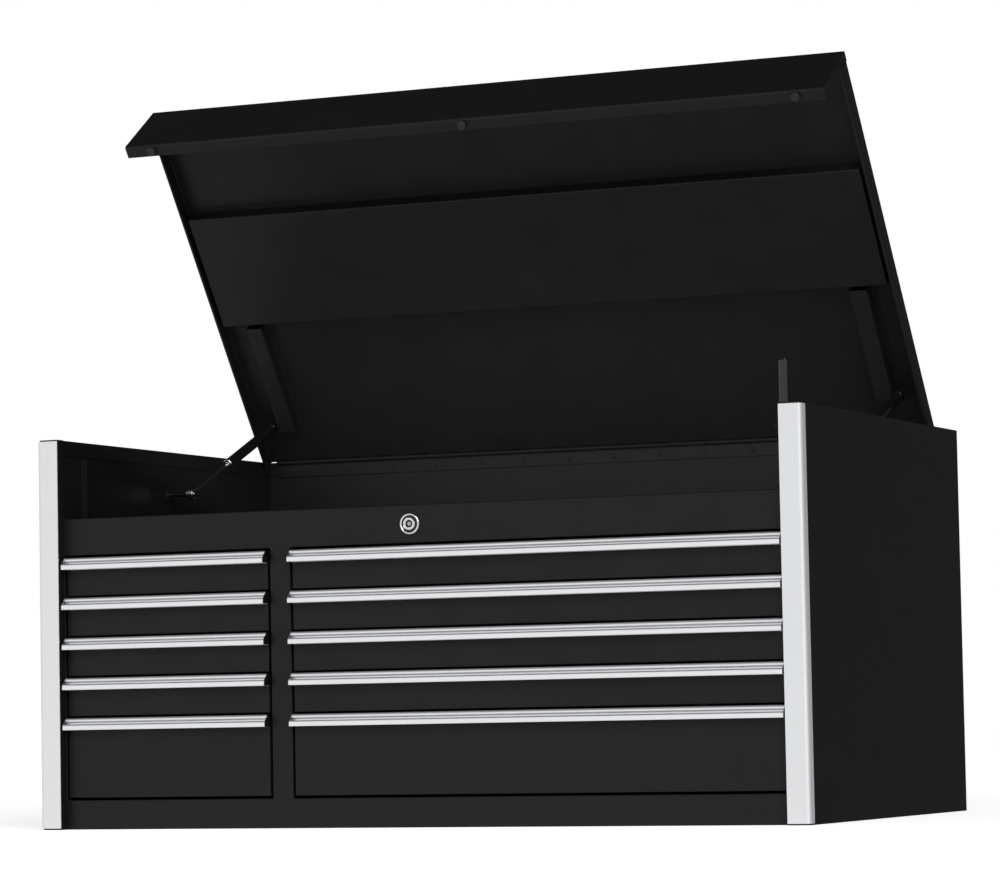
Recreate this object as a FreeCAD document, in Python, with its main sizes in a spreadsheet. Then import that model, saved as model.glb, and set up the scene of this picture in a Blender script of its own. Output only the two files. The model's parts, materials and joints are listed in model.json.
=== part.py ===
"""Ten-drawer tool top chest with a lift-up lid, as a parametric FreeCAD model.

Millimetres. +X is the chest's right as one faces the drawers, +Y its back and +Z up. The origin is
the middle of the base, on the surface that the chest stands on. The lid is drawn where it stands
open, held by its two struts, and every drawer is shut.
"""
import FreeCAD, Part
import math
import operator
import os
import Sketcher

DOC = FreeCAD.newDocument("top_chest")
SHEET = DOC.addObject("Spreadsheet::Sheet", "Sizes")

# ---------------------------------------------------------------- driving dimensions

DIMENSIONS = [
    ("body_width", 1041.0, "over the two corner trims"),
    ("body_depth", 606.0, "from the face of the trims to the back edge of the sides"),
    ("body_height", 498.5, "to the top of the side walls"),
    ("sheet", 1.2, "steel sheet of the case, lid and drawers"),
    ("wall_gap", 23.5, "thickness of each double side wall"),
    ("lip_height", 19.0, "inner lip folded down from the top of the walls"),
    ("back_rim", 8.0, "width of the rim on top of the back"),
    ("rear_fold", 20.0, "fold of each side panel across the back"),
    ("fold_radius", 1.5, "outer radius of the folds round the front openings"),
    ("trim_width", 29.0, "front face of a corner trim"),
    ("trim_return", 15.0, "side face of a corner trim"),
    ("trim_sheet", 1.5, "thickness of a corner trim"),
    ("trim_radius", 5.0, "outer corner of a trim"),
    ("trim_end", 1.8, "how far a trim stops short of the base and of the wall top"),
    ("post_depth", 17.0, "from the face of the trims back to the drawer fronts"),
    ("header_top", 396.8, "upper edge of the fixed panel over the drawers"),
    ("header_bottom", 349.4, "lower edge of that panel"),
    ("header_shelf", 32.0, "depth of the fold on top of that panel"),
    ("shelf_lip", 8.0, "lip folded down from that shelf"),
    ("frame_fold", 15.0, "depth of the folds round the drawer openings"),
    ("rail_height", 37.2, "upper edge of the bottom rail"),
    ("divider_centre", -181.5, "middle of the post between the two banks"),
    ("divider_width", 28.4, "front face of that post"),
    ("slide_room", 5.2, "from the side of an opening out to the panel that carries the slides"),
    ("drawer_pitch", 51.2, "from one drawer front to the next"),
    ("drawer_gap", 2.4, "open joint between two drawer fronts"),
    ("edge_gap", 3.0, "open joint above the first and below the last drawer front"),
    ("side_gap", 3.3, "open joint at each end of a drawer front"),
    ("front_fold", 12.0, "depth of the folded edge of a drawer front"),
    ("box_inset", 3.0, "drawer side, inwards from the end of its front"),
    ("box_base", 3.0, "drawer bottom, above the lower edge of its front"),
    ("box_drop", 6.0, "rim of the drawer, below the upper edge of its front"),
    ("box_depth", 545.0, "drawer, from its face to its back"),
    ("catch_reach", 9.0, "catch on the back of a drawer"),
    ("catch_width", 24.0, "catch on the back of a drawer"),
    ("catch_drop", 12.0, "underside of the catch, below the rim of the drawer"),
    ("bar_width", 20.0, "lock bar"),
    ("bar_thickness", 3.0, "lock bar"),
    ("bar_gap", 3.0, "from a catch to the lock bar behind it"),
    ("bar_stroke", 11.0, "from a catch up to the tab over it"),
    ("bracket_height", 79.0, "brackets in the front corners of the till"),
    ("bracket_reach", 70.0, "brackets, from the face of the trims to their rear edge"),
    ("bracket_rib", 8.0, "rib along the rear edge of a bracket"),
    ("pull_reach", 15.0, "pull, out from the drawer face"),
    ("pull_height", 15.2, "pull, from top to bottom"),
    ("pull_overhang", 1.5, "pull, past each end of its drawer front"),
    ("bead_reach", 8.0, "upper bead of the pull"),
    ("bead_height", 6.2, "upper bead of the pull"),
    ("groove_height", 1.6, "groove under the bead"),
    ("pull_wall", 1.8, "wall of the pull's lower lip"),
    ("pull_back", 1.6, "wall of the pull against the drawer front"),
    ("groove_floor", 4.5, "floor of the groove, from the drawer face"),
    ("rail_length", 500.0, "slide member on the case"),
    ("rail_start", 28.0, "slide member, behind the drawer fronts"),
    ("rail_span", 32.0, "height of the case member of a slide"),
    ("runner_span", 24.0, "height of the drawer member of a slide"),
    ("rail_lips", 9.5, "depth of the case member of a slide"),
    ("runner_lips", 5.5, "depth of the drawer member of a slide"),
    ("slide_centre", 26.0, "slide centre line, below the upper edge of the drawer front"),
    ("pin_height", 497.5, "hinge pin"),
    ("pin_radius", 1.5, "hinge pin"),
    ("knuckle_radius", 3.0, "hinge knuckle"),
    ("knuckle_pitch", 26.0, "length of one hinge knuckle and its share of the gaps"),
    ("leaf_sheet", 1.2, "hinge leaves"),
    ("leaf_height", 17.0, "hinge leaves, from knuckle to edge"),
    ("leaf_clear", 0.4, "from the knuckles to a leaf and to the other leaf's tongues"),
    ("knuckle_end_gap", 0.2, "at each end of a knuckle"),
    ("screw_pitch", 67.0, "screws of the hinge"),
    ("screw_radius", 1.6, "screws of the hinge"),
    ("screw_length", 6.0, "screws of the hinge"),
    ("lid_open", 54.2, "how far the lid stands open, in degrees"),
    ("lid_width", 985.0, "between the outer faces of its side folds"),
    ("lid_length", 563.5, "from the hinge pin to the face of the lid's front"),
    ("lid_rise", 4.5, "outer skin of the lid over the hinge pin"),
    ("lid_front", 99.4, "depth of the lid's front"),
    ("lid_return", 16.5, "fold along the lower edge of the lid's front"),
    ("lid_side", 25.0, "depth of the lid's side folds"),
    ("lid_hem", 4.0, "hem along the edge of the lid's side folds"),
    ("lid_bend", 3.0, "outer bend radius of the lid"),
    ("beam_near", 235.5, "stiffening beam, from the hinge pin to its near side"),
    ("beam_far", 406.0, "stiffening beam, from the hinge pin to its far side"),
    ("beam_depth", 22.0, "stiffening beam, from the outer skin"),
    ("beam_width", 965.0, "length of the stiffening beam"),
    ("channel_near", 428.0, "end channel, inner side from the centre line"),
    ("channel_far", 452.0, "end channel, outer side from the centre line"),
    ("channel_start", 60.0, "end channel, from the hinge pin to its near end"),
    ("channel_depth", 20.0, "end channel, from the outer skin"),
    ("flange", 6.0, "flanges of the beam and of the channels"),
    ("strut_plane", 461.0, "middle plane of each strut, from the centre line"),
    ("chest_ball_back", 302.0, "lower strut pivot, behind the face of the trims"),
    ("chest_ball_height", 440.3, "lower strut pivot"),
    ("lid_ball_out", 67.0, "upper strut pivot, along the lid from the hinge pin"),
    ("lid_ball_depth", 13.0, "upper strut pivot, under the line of the hinge pin"),
    ("rod_radius", 2.0, "strut rod"),
    ("rod_shown", 115.0, "strut rod, from its pivot to the mouth of the tube"),
    ("tube_radius", 7.0, "strut tube"),
    ("eye_radius", 7.0, "strut end fittings"),
    ("eye_width", 10.0, "strut end fittings"),
    ("neck_radius", 3.6, "necks of the strut end fittings"),
    ("stud_radius", 3.0, "strut studs"),
    ("lock_radius", 13.5, "bezel of the key lock"),
    ("barrel_radius", 12.0, "body of the key lock"),
    ("core_radius", 9.0, "bore of the key lock"),
    ("plunger_radius", 7.3, "lid-operated lock plunger"),
    ("plunger_top", 555.0, "top of the plunger with the lid open"),
    ("plunger_length", 145.0, "lid-operated lock plunger"),
    ("plunger_back", 60.0, "plunger axis, behind the face of the trims"),
    ("plunger_side", 479.0, "plunger axis, from the centre line"),
    ("bumper_radius", 6.0, "rubber bumpers"),
    ("bumper_height", 5.3, "rubber bumpers"),
    ("bumper_side", 454.0, "outer bumpers, from the centre line"),
]


class Size:
    """A number that carries the spreadsheet formula it comes from."""

    def __init__(self, value, formula):
        self.value = float(value)
        self.formula = formula

    def __add__(self, other):
        return combined(self, "+", other)

    def __radd__(self, other):
        return combined(other, "+", self)

    def __sub__(self, other):
        return combined(self, "-", other)

    def __rsub__(self, other):
        return combined(other, "-", self)

    def __mul__(self, other):
        return combined(self, "*", other)

    def __rmul__(self, other):
        return combined(other, "*", self)

    def __truediv__(self, other):
        return combined(self, "/", other)

    def __neg__(self):
        return combined(0, "-", self)


SIGNS = {"+": operator.add, "-": operator.sub, "*": operator.mul, "/": operator.truediv}


def size_of(number):
    return number if isinstance(number, Size) else Size(number, f"({float(number)})")


def combined(left, sign, right):
    left, right = size_of(left), size_of(right)
    return Size(SIGNS[sign](left.value, right.value), f"({left.formula} {sign} {right.formula})")


class Table:
    """The spreadsheet's sizes, one attribute for each alias."""


T = Table()
for row, (alias, number, meaning) in enumerate(DIMENSIONS, 1):
    SHEET.set(f"A{row}", alias.replace("_", " "))
    SHEET.set(f"B{row}", str(number))
    SHEET.set(f"C{row}", meaning)
    SHEET.setAlias(f"B{row}", alias)
    setattr(T, alias, Size(number, "Sizes." + alias))
DOC.recompute()

# Planes and lines that several pieces share.
HALF = T.body_width / 2
FRONT = -T.body_depth / 2
BACK = T.body_depth / 2
TOP = T.body_height
SHEET_T = T.sheet
PANEL_X = HALF - T.trim_sheet                    # outer face of the side panels
WALL_X = PANEL_X - T.wall_gap                    # inner face of the side walls
LINER_X = WALL_X + SHEET_T                       # face of the inner side panels
POST_X = HALF - T.trim_width                     # inner face of the front posts
POST_Y = FRONT + T.trim_sheet                    # front face of the posts, behind the trims
FACE_Y = FRONT + T.post_depth                    # plane of the drawer fronts
RIM_Y = BACK - T.back_rim                        # inner face of the back rim
LEAF_BACK = T.knuckle_radius + 0.5               # back of the hinge's chest leaf, behind the pin
PIN_Y = RIM_Y - LEAF_BACK
FLOOR_Z = T.header_bottom + SHEET_T              # underside of the floor over the drawers
DIVIDER = (T.divider_centre - T.divider_width / 2, T.divider_centre + T.divider_width / 2)
BANKS = {"left": (-POST_X, DIVIDER[0]), "right": (DIVIDER[1], POST_X)}
DRAWERS = range(1, 6)
PLUNGER_Y = FRONT + T.plunger_back
LOCK_Z = (T.header_top + T.header_bottom) / 2
CHEST_BALL = (FRONT + T.chest_ball_back, T.chest_ball_height)

NODES = []

# ---------------------------------------------------------------- small helpers


def bind(thing, path, size):
    thing.setExpression(path, size_of(size).formula)


def block(name, x, y, z):
    """A box; x, y and z are each a (low, high) pair."""
    box = DOC.addObject("Part::Box", name)
    for edge, axis, (low, high) in (("Length", "x", x), ("Width", "y", y), ("Height", "z", z)):
        bind(box, edge, high - size_of(low))
        bind(box, "Placement.Base." + axis, low)
    return box


ALONG = {"x": FreeCAD.Vector(1, 0, 0), "y": FreeCAD.Vector(0, 1, 0), "z": FreeCAD.Vector(0, 0, 1)}


def cylinder(name, axis, start, length, radius):
    """A cylinder whose base centre is start and which runs along +axis."""
    round_bar = DOC.addObject("Part::Cylinder", name)
    bind(round_bar, "Radius", radius)
    bind(round_bar, "Height", length)
    turn = FreeCAD.Rotation(ALONG["z"], ALONG[axis])
    round_bar.Placement = FreeCAD.Placement(FreeCAD.Vector(), turn)
    for letter, place in zip("xyz", start):
        bind(round_bar, "Placement.Base." + letter, place)
    return round_bar


def fused(name, pieces):
    union = DOC.addObject("Part::MultiFuse", name)
    union.Shapes = pieces
    union.Refine = True
    return union


def cut(name, base, tool):
    remainder = DOC.addObject("Part::Cut", name)
    remainder.Base = base
    remainder.Tool = tool
    remainder.Refine = True
    return remainder


def group(name, pieces):
    """Separate solids kept together as one sub-part."""
    bundle = DOC.addObject("Part::Compound", name)
    bundle.Links = pieces
    return bundle


def mirrored(name, source):
    """The same piece on the other side of the centre plane."""
    copy = DOC.addObject("Part::Mirroring", name)
    copy.Source = source
    copy.Normal = ALONG["x"]
    return copy


def rounded(name, base, radius, wanted):
    """Round the straight edges of base whose middle point satisfies wanted(point, direction)."""
    DOC.recompute()
    fillet = DOC.addObject("Part::Fillet", name)
    fillet.Base = base
    chosen = []
    for number, edge in enumerate(base.Shape.Edges, 1):
        if edge.Curve.TypeId != "Part::GeomLine":
            continue
        middle = (edge.Vertexes[0].Point + edge.Vertexes[1].Point) * 0.5
        if wanted(middle, edge.Curve.Direction):
            chosen.append((number, radius.value, radius.value))
    fillet.Edges = chosen
    return fillet


def near(number, size):
    return abs(number - size_of(size).value) < 0.01


def add_outline(sketch, corners):
    """Draw and constrain a square-cornered outline; each corner is (x, y) or (x, y, radius)."""
    points = [FreeCAD.Vector(size_of(c[0]).value, size_of(c[1]).value, 0) for c in corners]
    radii = [size_of(c[2]) if len(c) > 2 else None for c in corners]
    count = len(corners)
    heading = [(points[(i + 1) % count] - points[i]).normalize() for i in range(count)]
    reach = [r.value if r else 0.0 for r in radii]
    for i in range(count):
        after = (i + 1) % count
        start = points[i] + heading[i] * reach[i]
        end = points[after] - heading[i] * reach[after]
        sketch.addGeometry(Part.LineSegment(start, end), False)
        if abs(heading[i].x) > 0.5:
            sketch.addConstraint(Sketcher.Constraint("Horizontal", i))
            place = sketch.addConstraint(Sketcher.Constraint("DistanceY", -1, 1, i, 1, start.y))
            bind(sketch, f"Constraints[{place}]", corners[i][1])
        else:
            sketch.addConstraint(Sketcher.Constraint("Vertical", i))
            place = sketch.addConstraint(Sketcher.Constraint("DistanceX", -1, 1, i, 1, start.x))
            bind(sketch, f"Constraints[{place}]", corners[i][0])
    for i in range(count):
        before = (i - 1) % count
        if radii[i] is None:
            sketch.addConstraint(Sketcher.Constraint("Coincident", before, 2, i, 1))
            continue
        centre = points[i] - heading[before] * reach[i] + heading[i] * reach[i]
        leaving = points[i] + heading[i] * reach[i] - centre
        coming = points[i] - heading[before] * reach[i] - centre
        left_turn = heading[before].cross(heading[i]).z > 0
        first, last = (coming, leaving) if left_turn else (leaving, coming)
        circle = Part.Circle(centre, ALONG["z"], reach[i])
        begin, finish = math.atan2(first.y, first.x), math.atan2(last.y, last.x)
        arc = sketch.addGeometry(Part.ArcOfCircle(circle, begin, finish), False)
        entry, exit_end = (1, 2) if left_turn else (2, 1)
        sketch.addConstraint(Sketcher.Constraint("Tangent", before, 2, arc, entry))
        sketch.addConstraint(Sketcher.Constraint("Tangent", arc, exit_end, i, 1))
        place = sketch.addConstraint(Sketcher.Constraint("Radius", arc, reach[i]))
        bind(sketch, f"Constraints[{place}]", radii[i])


def extrusion(name, plane, corners, start, length):
    """A body padded from an outline on XY (towards +Z), YZ (towards +X) or XZ (towards -Y)."""
    body = DOC.addObject("PartDesign::Body", name)
    sketch = body.newObject("Sketcher::SketchObject", name + "_outline")
    role = plane + "_Plane"
    origin_plane = [part for part in body.Origin.OriginFeatures if part.Role == role][0]
    sketch.AttachmentSupport = [(origin_plane, "")]
    sketch.MapMode = "FlatFace"
    bind(sketch, "AttachmentOffset.Base.z", start)
    add_outline(sketch, corners)
    pad = body.newObject("PartDesign::Pad", name + "_pad")
    pad.Profile = sketch
    bind(pad, "Length", length)
    body.Tip = pad
    return body


def turned(name, axis, centre, steps):
    """A stepped round part: each step is (start, end, radius) along +axis from centre."""
    rings = []
    for number, (start, end, radius) in enumerate(steps):
        place = dict(zip("xyz", centre))
        place[axis] = place[axis] + size_of(start)
        ring = f"{name}_step_{number}"
        rings.append(cylinder(ring, axis, place.values(), size_of(end) - start, radius))
    return fused(name, rings)


def node(name, shape, hung=False):
    """Name a finished sub-part; one that hangs on the lid is swung to where the lid stands."""
    shape.Label = name
    if hung:
        swing = FreeCAD.Rotation(ALONG["x"], -T.lid_open.value)
        shape.Placement = FreeCAD.Placement(FreeCAD.Vector(), swing)
        bind(shape, "Placement.Base.y", PIN_Y)
        bind(shape, "Placement.Base.z", T.pin_height)
    NODES.append((name, shape))
    return shape


def pair_across(low, high):
    """A symmetric (low, high) pair, or its mirror on the left."""
    return (low, high), (-high, -low)


# ---------------------------------------------------------------- case


def side_cap(name, z):
    """The flat end of a side wall, which follows the outline of the wall and its front post."""
    wall = block(name + "_wall", (WALL_X, PANEL_X), (POST_Y, BACK), z)
    post = block(name + "_post", (POST_X, PANEL_X), (POST_Y, FACE_Y), z)
    plate = fused(name + "_plate", [wall, post])
    corner = T.trim_radius - 1
    return rounded(name, plate, corner, lambda p, d: abs(d.z) > 0.9 and near(p.x, PANEL_X)
                   and near(p.y, POST_Y))


def side_panel():
    """Outer skin, front post and top rim of the right side, folded from one sheet."""
    bend, inner_bend = T.trim_radius - 1, T.trim_radius - 1 - SHEET_T
    rear_fold = PANEL_X - T.rear_fold
    outline = [
        (rear_fold, BACK), (PANEL_X, BACK), (PANEL_X, POST_Y, bend), (POST_X, POST_Y, T.fold_radius),
        (POST_X, FACE_Y, T.fold_radius), (LINER_X + SHEET_T, FACE_Y),
        (LINER_X + SHEET_T, FACE_Y - SHEET_T), (POST_X + SHEET_T, FACE_Y - SHEET_T),
        (POST_X + SHEET_T, POST_Y + SHEET_T), (PANEL_X - SHEET_T, POST_Y + SHEET_T, inner_bend),
        (PANEL_X - SHEET_T, BACK - SHEET_T), (rear_fold, BACK - SHEET_T),
    ]
    skin = extrusion("side_skin", "XY", outline, 0, TOP)
    rim = side_cap("side_rim", (TOP - SHEET_T, TOP))
    base = side_cap("side_base", (0, SHEET_T))
    lip = block("side_lip", (WALL_X, LINER_X), (FACE_Y, RIM_Y + SHEET_T), (TOP - T.lip_height, TOP))
    right = node("right_side_panel", fused("right_side", [skin, rim, base, lip]))
    node("left_side_panel", mirrored("left_side", right))


def side_liners():
    """The inner side panels, which carry the slides."""
    depth = (FACE_Y, RIM_Y + SHEET_T * 2)
    right = block("right_liner", (LINER_X, LINER_X + SHEET_T), depth, (SHEET_T, TOP - SHEET_T))
    node("inner_side_panels", group("liners", [right, mirrored("left_liner", right)]))


def lock_bar_section(bank):
    """The (low, high) pairs in X and Y of the lock bar behind a bank."""
    middle = (BANKS[bank][0] + BANKS[bank][1]) / 2
    front = FACE_Y + T.box_depth + T.catch_reach + T.bar_gap
    return (middle - T.bar_width / 2, middle + T.bar_width / 2), (front, front + T.bar_thickness)


def back_panel():
    inside = PANEL_X - SHEET_T
    skin = block("back_skin", (-inside, inside), (BACK - SHEET_T * 2, BACK - SHEET_T),
                 (SHEET_T, TOP - SHEET_T))
    rim = block("back_rim_top", (-WALL_X, WALL_X), (RIM_Y, BACK - SHEET_T), (TOP - SHEET_T, TOP))
    lip = block("back_lip", (-WALL_X, WALL_X), (RIM_Y, RIM_Y + SHEET_T), (TOP - T.lip_height, TOP))
    guides, slots = [], []
    for bank in BANKS:
        x, y = lock_bar_section(bank)
        slots.append(block(f"{bank}_bar_slot", (x[0] - 0.5, x[1] + 0.5), (y[0] - 0.5, y[1] + 0.5),
                           (0, T.header_bottom)))
        for number, base in enumerate((60, 320)):
            guides.append(block(f"{bank}_bar_guide_{number}", (x[0] - 3, x[1] + 3),
                                (y[0] - 2, BACK - SHEET_T * 2), (base, base + 2)))
    guide_plates = cut("bar_guides", fused("bar_guide_plates", guides), fused("bar_slots", slots))
    node("back_panel", fused("back", [skin, rim, lip, guide_plates]))


def bottom_panel():
    floor = block("case_floor", (-WALL_X, WALL_X), (FACE_Y + SHEET_T, BACK - SHEET_T * 2), (0, SHEET_T))
    node("bottom_panel", floor)


def front_frame():
    """Panel over the drawers, centre post and bottom rail, folded back round both openings."""
    face = block("frame_face", (-WALL_X, WALL_X), (FACE_Y, FACE_Y + SHEET_T), (0, T.header_top))
    shelf = block("frame_shelf", (-WALL_X, WALL_X), (FACE_Y, FACE_Y + T.header_shelf),
                  (T.header_top - SHEET_T, T.header_top))
    shelf_lip = block("frame_shelf_lip", (-WALL_X, WALL_X),
                      (FACE_Y + T.header_shelf - SHEET_T, FACE_Y + T.header_shelf),
                      (T.header_top - T.shelf_lip, T.header_top))
    solids, openings = [face, shelf, shelf_lip], []
    height = (T.rail_height, T.header_bottom)
    for bank, (low, high) in BANKS.items():
        solids.append(block(f"frame_fold_{bank}", (low - SHEET_T, high + SHEET_T),
                            (FACE_Y, FACE_Y + T.frame_fold),
                            (height[0] - SHEET_T, height[1] + SHEET_T)))
        openings.append(block(f"frame_opening_{bank}", (low, high), (FACE_Y - 5, FACE_Y + 50), height))
    openings.append(cylinder("lock_hole", "y", (0, FACE_Y - 5, LOCK_Z), 20, T.barrel_radius + 0.2))
    pierced = cut("frame_pierced", fused("frame_sheet", solids), fused("frame_openings", openings))

    def folded(point, direction):
        at_rim = near(abs(point.x), WALL_X) or near(point.z, 0)
        return near(point.y, FACE_Y) and not at_rim

    node("front_frame", rounded("frame", pierced, T.fold_radius, folded))


def centre_partition():
    """Hollow wall behind the centre post, for the inner slides of both banks."""
    low, high = DIVIDER[0] + T.slide_room, DIVIDER[1] - T.slide_room
    depth = (FACE_Y + T.frame_fold, RIM_Y)
    shell = block("partition_shell", (low, high), depth, (SHEET_T, T.header_bottom))
    hollow = block("partition_hollow", (low + SHEET_T, high - SHEET_T),
                   (depth[0] + SHEET_T, depth[1] - SHEET_T), (0, T.header_bottom - SHEET_T))
    node("centre_partition", cut("partition", shell, hollow))


def till_floor():
    """Floor of the compartment under the lid, turned up at the back."""
    depth = (FACE_Y + SHEET_T, RIM_Y + SHEET_T * 2)
    floor = block("till_sheet", (-LINER_X, LINER_X), depth, (FLOOR_Z, FLOOR_Z + SHEET_T))
    upstand = block("till_back", (-LINER_X, LINER_X), (RIM_Y + SHEET_T, RIM_Y + SHEET_T * 2),
                    (FLOOR_Z, TOP - SHEET_T))
    node("till_floor", fused("till", [floor, upstand]))


def corner_trims():
    """Bright angle trims that cover the front corners."""
    skin = T.trim_sheet
    outline = [
        (HALF, FRONT, T.trim_radius), (HALF, FRONT + T.trim_return),
        (HALF - skin, FRONT + T.trim_return), (HALF - skin, FRONT + skin, T.trim_radius - skin),
        (POST_X, FRONT + skin), (POST_X, FRONT),
    ]
    right = extrusion("right_trim", "XY", outline, T.trim_end, TOP - T.trim_end * 2)
    node("right_corner_trim", right)
    node("left_corner_trim", mirrored("left_trim", right))


def till_corner_brackets():
    """Angle brackets in the front corners of the till; the right one guides the plunger."""
    depth = (FACE_Y + 1, FRONT + T.bracket_reach)
    height = (T.header_top, T.header_top + T.bracket_height)
    plates = (WALL_X - SHEET_T, WALL_X)
    ribs = (WALL_X - T.bracket_rib, WALL_X)
    right = [block("bracket_plate", plates, depth, height),
             block("bracket_rib", ribs, (depth[1] - SHEET_T, depth[1]), height)]
    guide_x = (T.plunger_side - T.plunger_radius - 4, WALL_X)
    guide_y = (PLUNGER_Y - T.plunger_radius - 3, depth[1])
    for name, base in (("bracket_upper_guide", height[1] - SHEET_T * 2),
                       ("bracket_lower_guide", height[0] + 4)):
        right.append(block(name, guide_x, guide_y, (base, base + SHEET_T * 2)))
    bore = cylinder("bracket_bore", "z", (T.plunger_side, PLUNGER_Y, height[0]), T.bracket_height,
                    T.plunger_radius + 0.3)
    right_bracket = cut("right_bracket", fused("bracket_pieces", right), bore)
    plate, rib = pair_across(*plates)[1], pair_across(*ribs)[1]
    left_bracket = fused("left_bracket", [
        block("left_bracket_plate", plate, depth, height),
        block("left_bracket_rib", rib, (depth[1] - SHEET_T, depth[1]), height)])
    node("till_corner_brackets", group("corner_brackets", [left_bracket, right_bracket]))


# ---------------------------------------------------------------- drawers and slides


def front_span(number):
    """Lower and upper edge of a drawer front; the first drawer is at the top."""
    upper = T.header_bottom - T.edge_gap - T.drawer_pitch * (number - 1)
    lower = upper - T.drawer_pitch + T.drawer_gap
    return (T.rail_height + T.edge_gap if number == DRAWERS[-1] else lower), upper


def drawer_box(bank, number):
    """Folded front, tray and rear catch, welded into one piece."""
    name = f"{bank}_drawer_{number}"
    low, high = BANKS[bank]
    x = (low + T.side_gap, high - T.side_gap)
    z = front_span(number)
    pan = block(name + "_pan", x, (FACE_Y, FACE_Y + T.front_fold), z)
    pan_hollow = block(name + "_pan_hollow", (x[0] + SHEET_T, x[1] - SHEET_T),
                       (FACE_Y + SHEET_T, FACE_Y + 40), (z[0] + SHEET_T, z[1] - SHEET_T))
    front = cut(name + "_front", pan, pan_hollow)
    sides = (x[0] + T.box_inset, x[1] - T.box_inset)
    rim = z[1] - T.box_drop
    depth = (FACE_Y + SHEET_T, FACE_Y + T.box_depth)
    tray = block(name + "_tray", sides, depth, (z[0] + T.box_base, rim))
    hollow = block(name + "_hollow", (sides[0] + SHEET_T, sides[1] - SHEET_T),
                   (depth[0], depth[1] - SHEET_T), (z[0] + T.box_base + SHEET_T, rim + 10))
    box = cut(name + "_box", tray, hollow)
    middle = (x[0] + x[1]) / 2
    catch_z = rim - T.catch_drop
    catch = block(name + "_catch", (middle - T.catch_width / 2, middle + T.catch_width / 2),
                  (depth[1] - SHEET_T, depth[1] + T.catch_reach), (catch_z, catch_z + SHEET_T))
    whole = fused(name + "_whole", [front, box, catch])
    node(name + "_box", rounded(name, whole, T.fold_radius - 0.3, lambda p, d: near(p.y, FACE_Y)))


def drawer_pull(bank, number):
    """Extruded full-width pull: a round-nosed bead over a deeper finger lip."""
    low, high = BANKS[bank]
    start = low + T.side_gap - T.pull_overhang
    length = high - low - T.side_gap * 2 + T.pull_overhang * 2
    face, lip = FACE_Y, FACE_Y - T.pull_reach
    bead, back, groove = face - T.bead_reach, face - T.pull_back, face - T.groove_floor
    shelf = -(T.bead_height + T.groove_height)
    wall = T.pull_wall
    outline = [
        (face, 0), (face, -T.pull_height), (back, -T.pull_height), (back, shelf - wall, 1.0),
        (lip + wall, shelf - wall, 1.0), (lip + wall, -T.pull_height), (lip, -T.pull_height, 0.8),
        (lip, shelf, 2.4), (groove, shelf), (groove, -T.bead_height),
        (bead, -T.bead_height, 2.0), (bead, 0, 3.0),
    ]
    name = f"{bank}_drawer_{number}_pull"
    pull = extrusion(name + "_bar", "YZ", outline, start, length)
    bind(pull, "Placement.Base.z", front_span(number)[1])
    node(name, pull)


def channel(name, wall_x, lip_x, start, length, centre, span):
    """One C-shaped slide member, lying along Y, whose web is at wall_x and whose lips reach lip_x."""
    toward = 1 if lip_x.value > wall_x.value else -1
    web = sorted((wall_x, wall_x + SHEET_T * toward), key=lambda size: size.value)
    reach = sorted((wall_x, lip_x), key=lambda size: size.value)
    depth = (start, start + length)
    pieces = [block(name + "_web", web, depth, (centre - span / 2, centre + span / 2))]
    for edge, low in (("_low", centre - span / 2), ("_high", centre + span / 2 - SHEET_T)):
        pieces.append(block(name + edge, reach, depth, (low, low + SHEET_T)))
    return fused(name, pieces)


def slides():
    """A case member and a drawer member at each side of each drawer."""
    case_members = []
    for bank, (low, high) in BANKS.items():
        for number in DRAWERS:
            centre = front_span(number)[1] - T.slide_centre
            runners = []
            for end, edge, inward in (("a", low, 1), ("b", high, -1)):
                name = f"{bank}_slide_{number}{end}"
                panel = edge - T.slide_room * inward
                case_members.append(channel(name + "_case", panel, panel + T.rail_lips * inward,
                                            FACE_Y + T.rail_start, T.rail_length, centre, T.rail_span))
                side = edge + (T.side_gap + T.box_inset) * inward
                runners.append(channel(name + "_drawer", side, side - T.runner_lips * inward,
                                       FACE_Y + T.front_fold + 1, T.rail_length, centre,
                                       T.runner_span))
            node(f"{bank}_drawer_{number}_runners", group(f"{bank}_runners_{number}", runners))
    node("case_slide_rails", group("case_rails", case_members))


def lock_bars():
    """Upright bars behind the two banks; each tab stops just above a drawer's catch."""
    bars = []
    for bank in BANKS:
        x, y = lock_bar_section(bank)
        pieces = [block(f"{bank}_bar", x, y, (45, T.header_bottom - 2))]
        for number in DRAWERS:
            tab = front_span(number)[1] - T.box_drop - T.catch_drop + SHEET_T + T.bar_stroke
            pieces.append(block(f"{bank}_bar_tab_{number}", (x[0] + 2, x[1] - 2),
                                (y[0] - T.catch_reach + 1, y[1]), (tab, tab + T.bar_thickness)))
        bars.append(fused(f"{bank}_lock_bar", pieces))
    node("drawer_lock_bars", group("lock_bars", bars))


# ---------------------------------------------------------------- lid and hinge, in the lid's frame


SKIN = T.lid_rise                                # outer skin, over the hinge pin
UNDER = T.lid_rise - SHEET_T                     # underside of the skin
LID_X = T.lid_width / 2
SEAM_X = LID_X - 12                              # where the middle of the lid meets its side folds
SIDE_END = T.lid_length - T.lid_return + 2       # front end of the side folds, from the hinge pin


def lid_front_section(name, near_end, start, length):
    """Skin, front and return fold of the lid, as one bent sheet."""
    tip = -T.lid_length
    low = SKIN - T.lid_front
    inner = T.lid_bend - SHEET_T
    corners = [
        (-near_end, SKIN), (tip, SKIN, T.lid_bend), (tip, low, T.lid_bend), (tip + T.lid_return, low),
        (tip + T.lid_return, low + SHEET_T), (tip + SHEET_T, low + SHEET_T, inner),
        (tip + SHEET_T, UNDER, inner), (-near_end, UNDER),
    ]
    return extrusion(name, "YZ", corners, start, length)


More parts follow.
